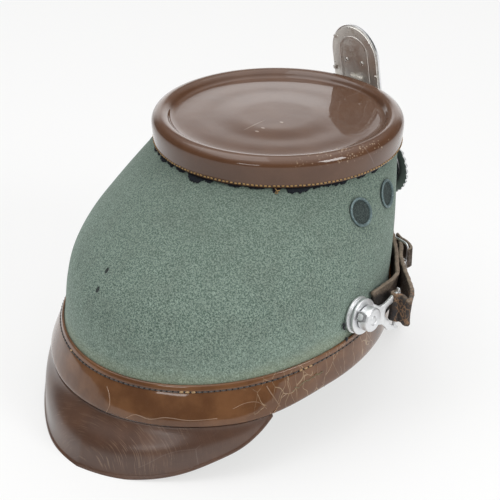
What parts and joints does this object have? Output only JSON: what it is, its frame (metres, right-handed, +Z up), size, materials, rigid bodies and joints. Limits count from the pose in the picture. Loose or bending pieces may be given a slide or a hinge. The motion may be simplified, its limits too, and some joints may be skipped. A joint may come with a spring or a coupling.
{
  "type": "shako hat",
  "caption": "Felt shako hat with a round leather crown, front and rear peaks, head band, side posts and a chin strap.",
  "frame": {"origin": "under the middle of the hat, on the surface that it stands on", "axes": "+Z up, the front of the hat looks along -Y, the wearer's right is -X"},
  "size_m": [0.202, 0.2532, 0.1831],
  "materials": {
    "felt": "mottled grey green wool felt",
    "crown_leather": "glossy brown patent leather",
    "band_leather": "glossy brown patent leather with a stitched edge",
    "peak_leather": "dark brown patent leather, scratched",
    "strap_leather": "worn dark brown leather",
    "post_metal": "satin",
    "buckle_metal": "satin",
    "plate_metal": "frosted",
    "back_metal": "dull, stained",
    "backing_cloth": "matt black",
    "vent_paint": "worn blue green paint",
    "gauze": "dark woven wire"
  },
  "bodies": {
    "root": {"felt_body": "felt", "crown": "crown_leather", "head_band": "band_leather", "rear_peak": "peak_leather", "front_peak": "peak_leather", "strap_long": "strap_leather", "strap_short": "strap_leather", "strap_buckle": "buckle_metal", "front_plate": "plate_metal", "plate_backing": "backing_cloth", "cockade_back": "back_metal", "cockade_shell": "plate_metal", "vent_ring_right_1": "vent_paint", "vent_gauze_right_1": "gauze", "vent_ring_right_2": "vent_paint", "vent_gauze_right_2": "gauze", "vent_ring_left_1": "vent_paint", "vent_gauze_left_1": "gauze", "vent_ring_left_2": "vent_paint", "vent_gauze_left_2": "gauze", "post_base_right": "post_metal", "post_cap_right": "post_metal", "strap_lug_right": "post_metal", "post_base_left": "post_metal", "post_cap_left": "post_metal", "strap_lug_left": "post_metal"}
  },
  "joints": []
}
